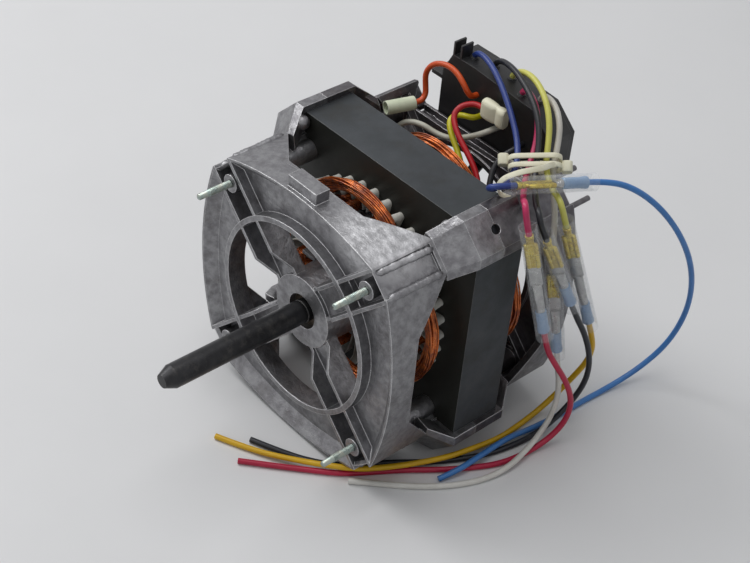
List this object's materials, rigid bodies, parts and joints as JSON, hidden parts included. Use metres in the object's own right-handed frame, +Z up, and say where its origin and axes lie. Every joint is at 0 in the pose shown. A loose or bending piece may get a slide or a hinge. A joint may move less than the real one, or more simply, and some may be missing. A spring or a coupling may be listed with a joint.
{
  "type": "alternating current motor",
  "caption": "Open-frame induction motor for a washing machine, with cast end shields, front studs, centrifugal start switch and spliced leads.",
  "frame": {"origin": "on the shaft axis, in the plane of the four front stud bosses", "axes": "+Z up as it stands, -Y along the output shaft, +X to the side with the spliced leads"},
  "size_m": [0.1843, 0.2812, 0.1838],
  "materials": {
    "cast_front": "raw die casting, satin",
    "cast_rear": "raw die casting, satin",
    "lamination": "dark varnished steel sheets",
    "cage": "cast",
    "slot_paper": "matt",
    "enamelled_copper": "enamelled",
    "black_shaft": "black oxide",
    "bronze": "sintered",
    "felt": "oiled felt",
    "pressed_steel": "zinc plated",
    "fibre": "matt",
    "zinc_bolt": "zinc plated",
    "collar_nylon": "moulded",
    "spring_wire": "drawn",
    "black_moulding": "matt",
    "contact_brass": "bright",
    "tinned": "tin plated",
    "nylon": "moulded",
    "clear_sleeve": "clear",
    "barrel_blue": "clear tinted",
    "inner_lead_orange": "PVC insulation",
    "inner_lead_red": "PVC insulation",
    "inner_lead_yellow": "PVC insulation",
    "inner_lead_white": "PVC insulation",
    "inner_lead_black": "PVC insulation",
    "harness_lead_blue": "PVC insulation",
    "harness_lead_magenta": "PVC insulation",
    "harness_lead_black": "PVC insulation",
    "harness_lead_yellow": "PVC insulation",
    "harness_lead_white": "PVC insulation",
    "pigtail_blue": "PVC insulation",
    "pigtail_yellow": "PVC insulation",
    "pigtail_black": "PVC insulation",
    "pigtail_red": "PVC insulation",
    "pigtail_white": "PVC insulation"
  },
  "bodies": {
    "motor_frame": {"front_shield": "cast_front", "rear_shield": "cast_rear", "stator_core": "lamination", "slot_liners": "slot_paper", "main_winding": "enamelled_copper", "start_winding": "enamelled_copper", "front_bearing": "bronze", "rear_bearing": "bronze", "front_felt_wick": "felt", "rear_felt_wick": "felt", "front_bearing_retainer": "pressed_steel", "rear_bearing_retainer": "pressed_steel", "lever_pin": "pressed_steel", "overload_protector": "pressed_steel", "through_bolts": "zinc_bolt", "switch_screws": "zinc_bolt", "switch_housing": "black_moulding", "switch_cover": "black_moulding", "fixed_contact": "contact_brass", "splice_female_terminals": "contact_brass", "switch_terminals": "tinned", "splice_male_terminals": "tinned", "protector_sleeve": "nylon", "lead_sleeve": "nylon", "cable_ties": "nylon", "splice_sleeves": "clear_sleeve", "splice_barrels": "barrel_blue", "inner_lead_orange": "inner_lead_orange", "inner_lead_red": "inner_lead_red", "inner_lead_yellow": "inner_lead_yellow", "inner_lead_white": "inner_lead_white", "inner_lead_black": "inner_lead_black", "harness_lead_blue": "harness_lead_blue", "harness_lead_magenta": "harness_lead_magenta", "harness_lead_black": "harness_lead_black", "harness_lead_yellow": "harness_lead_yellow", "harness_lead_white": "harness_lead_white", "pigtail_blue": "pigtail_blue", "pigtail_yellow": "pigtail_yellow", "pigtail_black": "pigtail_black", "pigtail_red": "pigtail_red", "pigtail_white": "pigtail_white"},
    "rotor": {"rotor_core": "lamination", "rotor_cage": "cage", "shaft": "black_shaft", "front_thrust_washer": "fibre", "rear_thrust_washer": "fibre", "governor_base": "pressed_steel", "governor_pins": "pressed_steel", "governor_spring": "spring_wire"},
    "collar": {"governor_collar": "collar_nylon"},
    "weight_upper": {"governor_weight_upper": "pressed_steel"},
    "weight_lower": {"governor_weight_lower": "pressed_steel"},
    "lever": {"switch_lever": "black_moulding", "moving_contact": "contact_brass"}
  },
  "joints": [
    {"name": "rotor_spin", "type": "hinge", "parent": "motor_frame", "child": "rotor", "pos_m": [0, 0.068, 0], "axis": [0, 1, 0], "continuous": true},
    {"name": "governor_slide", "type": "slide", "parent": "rotor", "child": "collar", "axis": [0, -1, 0], "range_m": [0, 0.003], "stiffness_N_per_m": 900, "springref_m": -0.002, "deforming": ["governor_spring"]},
    {"name": "weight_upper_swing", "type": "hinge", "parent": "rotor", "child": "weight_upper", "pos_m": [0, 0.098, 0.015], "axis": [1, 0, 0], "range_deg": [-28.7, 0]},
    {"name": "weight_lower_swing", "type": "hinge", "parent": "rotor", "child": "weight_lower", "pos_m": [0, 0.098, -0.015], "axis": [1, 0, 0], "range_deg": [0, 28.7]},
    {"name": "switch_lever_tilt", "type": "hinge", "parent": "motor_frame", "child": "lever", "pos_m": [0, 0.1342, 0.05], "axis": [1, 0, 0], "range_deg": [-5, 0]}
  ],
  "couplings": [
    {"joint": "weight_upper_swing", "follows": "governor_slide", "rad_per_m": -166.7},
    {"joint": "weight_lower_swing", "follows": "governor_slide", "rad_per_m": 166.7},
    {"joint": "switch_lever_tilt", "follows": "governor_slide", "rad_per_m": -29}
  ]
}
